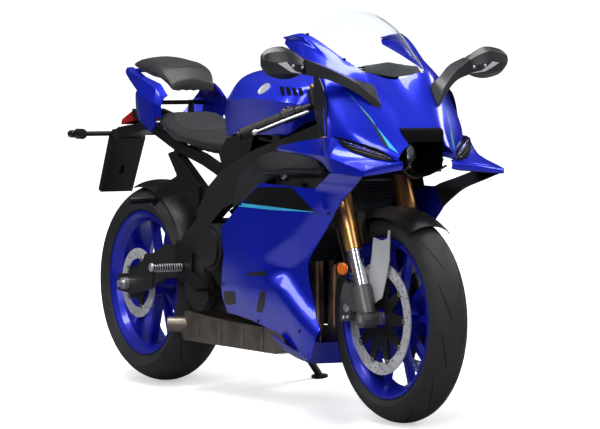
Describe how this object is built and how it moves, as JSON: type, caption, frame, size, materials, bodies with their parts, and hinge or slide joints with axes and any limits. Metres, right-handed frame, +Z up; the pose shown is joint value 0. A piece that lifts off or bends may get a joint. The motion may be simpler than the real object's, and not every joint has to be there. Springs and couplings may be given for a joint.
{
  "type": "sport motorcycle",
  "caption": "Fully faired sport motorcycle leaning on its side stand, with steering, free wheels and a folding stand.",
  "frame": {"origin": "bottom centre of the whole machine's box, on the ground", "axes": "+X forward, the way it travels; +Y to its left, the side it leans to; +Z up"},
  "size_m": [2.0599, 0.814, 1.1544],
  "materials": {
    "alloy": "satin",
    "black_metal": "satin",
    "black_plastic": "fine grain",
    "blue_metal": "metallic gloss",
    "blue_paint": "deep metallic gloss",
    "blue_rim": "satin gloss",
    "chromed": "polished",
    "clear_screen": "clear",
    "dark_panel": "satin",
    "engine_cover": "matt",
    "engine_metal": "cast",
    "exhaust_steel": "heat tinted",
    "gold_alloy": "anodised gold",
    "grey_metal": "matt",
    "grey_plastic": "satin",
    "grip_rubber": "matt",
    "lamp_lens": "clear",
    "radiator_core": "black finned",
    "red_lens": "clear red",
    "seat_cover": "grained vinyl",
    "steel": "brushed",
    "tyre_rubber": "matt"
  },
  "bodies": {
    "chassis": {"chain": "steel", "cowl": "blue_paint", "cowl_hoop": "black_metal", "cowl_stay": "black_metal", "dash": "black_plastic", "engine": "engine_metal", "engine_covers": "engine_cover", "fairing_left": "blue_paint", "fairing_right": "blue_paint", "frame_head": "grey_metal", "frame_left": "grey_metal", "frame_right": "grey_metal", "frame_tubes": "grey_metal", "headers": "exhaust_steel", "headlight": "lamp_lens", "intake": "black_plastic", "mirrors": "black_plastic", "nose_lamps": "lamp_lens", "passenger_pegs": "black_metal", "pillion_seat": "seat_cover", "plate_holder": "black_plastic", "radiator": "radiator_core", "rear_axle": "steel", "rear_caliper": "grey_metal", "rear_hugger": "black_plastic", "rearsets": "alloy", "rider_seat": "seat_cover", "screen": "clear_screen", "side_covers": "dark_panel", "silencer": "exhaust_steel", "subframe": "black_metal", "swingarm": "grey_metal", "tail_fairing": "blue_paint", "tail_light": "red_lens", "tank": "blue_metal", "winglets": "blue_paint"},
    "steering": {"yokes": "black_metal", "fork_tubes": "gold_alloy", "fork_sliders": "chromed", "fork_feet": "grey_metal", "front_axle": "steel", "front_calipers": "grey_metal", "handlebars": "black_metal", "grips": "grip_rubber", "controls": "black_plastic", "front_fender": "black_plastic", "brake_hoses": "grip_rubber", "fork_guards": "grey_plastic"},
    "front_wheel": {"front_rim": "blue_rim", "front_tyre": "tyre_rubber", "front_discs": "steel"},
    "rear_wheel": {"rear_rim": "blue_rim", "rear_tyre": "tyre_rubber", "rear_disc": "steel", "rear_sprocket": "steel"},
    "stand": {"side_stand": "black_metal"},
    "fuel_lid": {"fuel_cap": "black_metal"}
  },
  "joints": [
    {"name": "steering_turn", "type": "hinge", "parent": "chassis", "child": "steering", "pos_m": [0.70333, -0.12865, 0.28539], "axis": [-0.3854, 0.1602, 0.9087], "range_deg": [-27, 27]},
    {"name": "front_wheel_spin", "type": "hinge", "parent": "steering", "child": "front_wheel", "pos_m": [0.73, -0.12671, 0.29636], "axis": [0, 0.9848, -0.1736], "continuous": true},
    {"name": "rear_wheel_spin", "type": "hinge", "parent": "chassis", "child": "rear_wheel", "pos_m": [-0.69, -0.12398, 0.31182], "axis": [0, 0.9848, -0.1736], "continuous": true},
    {"name": "side_stand_fold", "type": "hinge", "parent": "chassis", "child": "stand", "pos_m": [-0.19, 0.00086, 0.21365], "axis": [0, 0.9397, 0.342], "range_deg": [0, 105]},
    {"name": "fuel_cap_lift", "type": "hinge", "parent": "chassis", "child": "fuel_lid", "pos_m": [0.037, -0.00295, 0.99824], "axis": [0, -0.9848, 0.1736], "range_deg": [0, 95]}
  ]
}
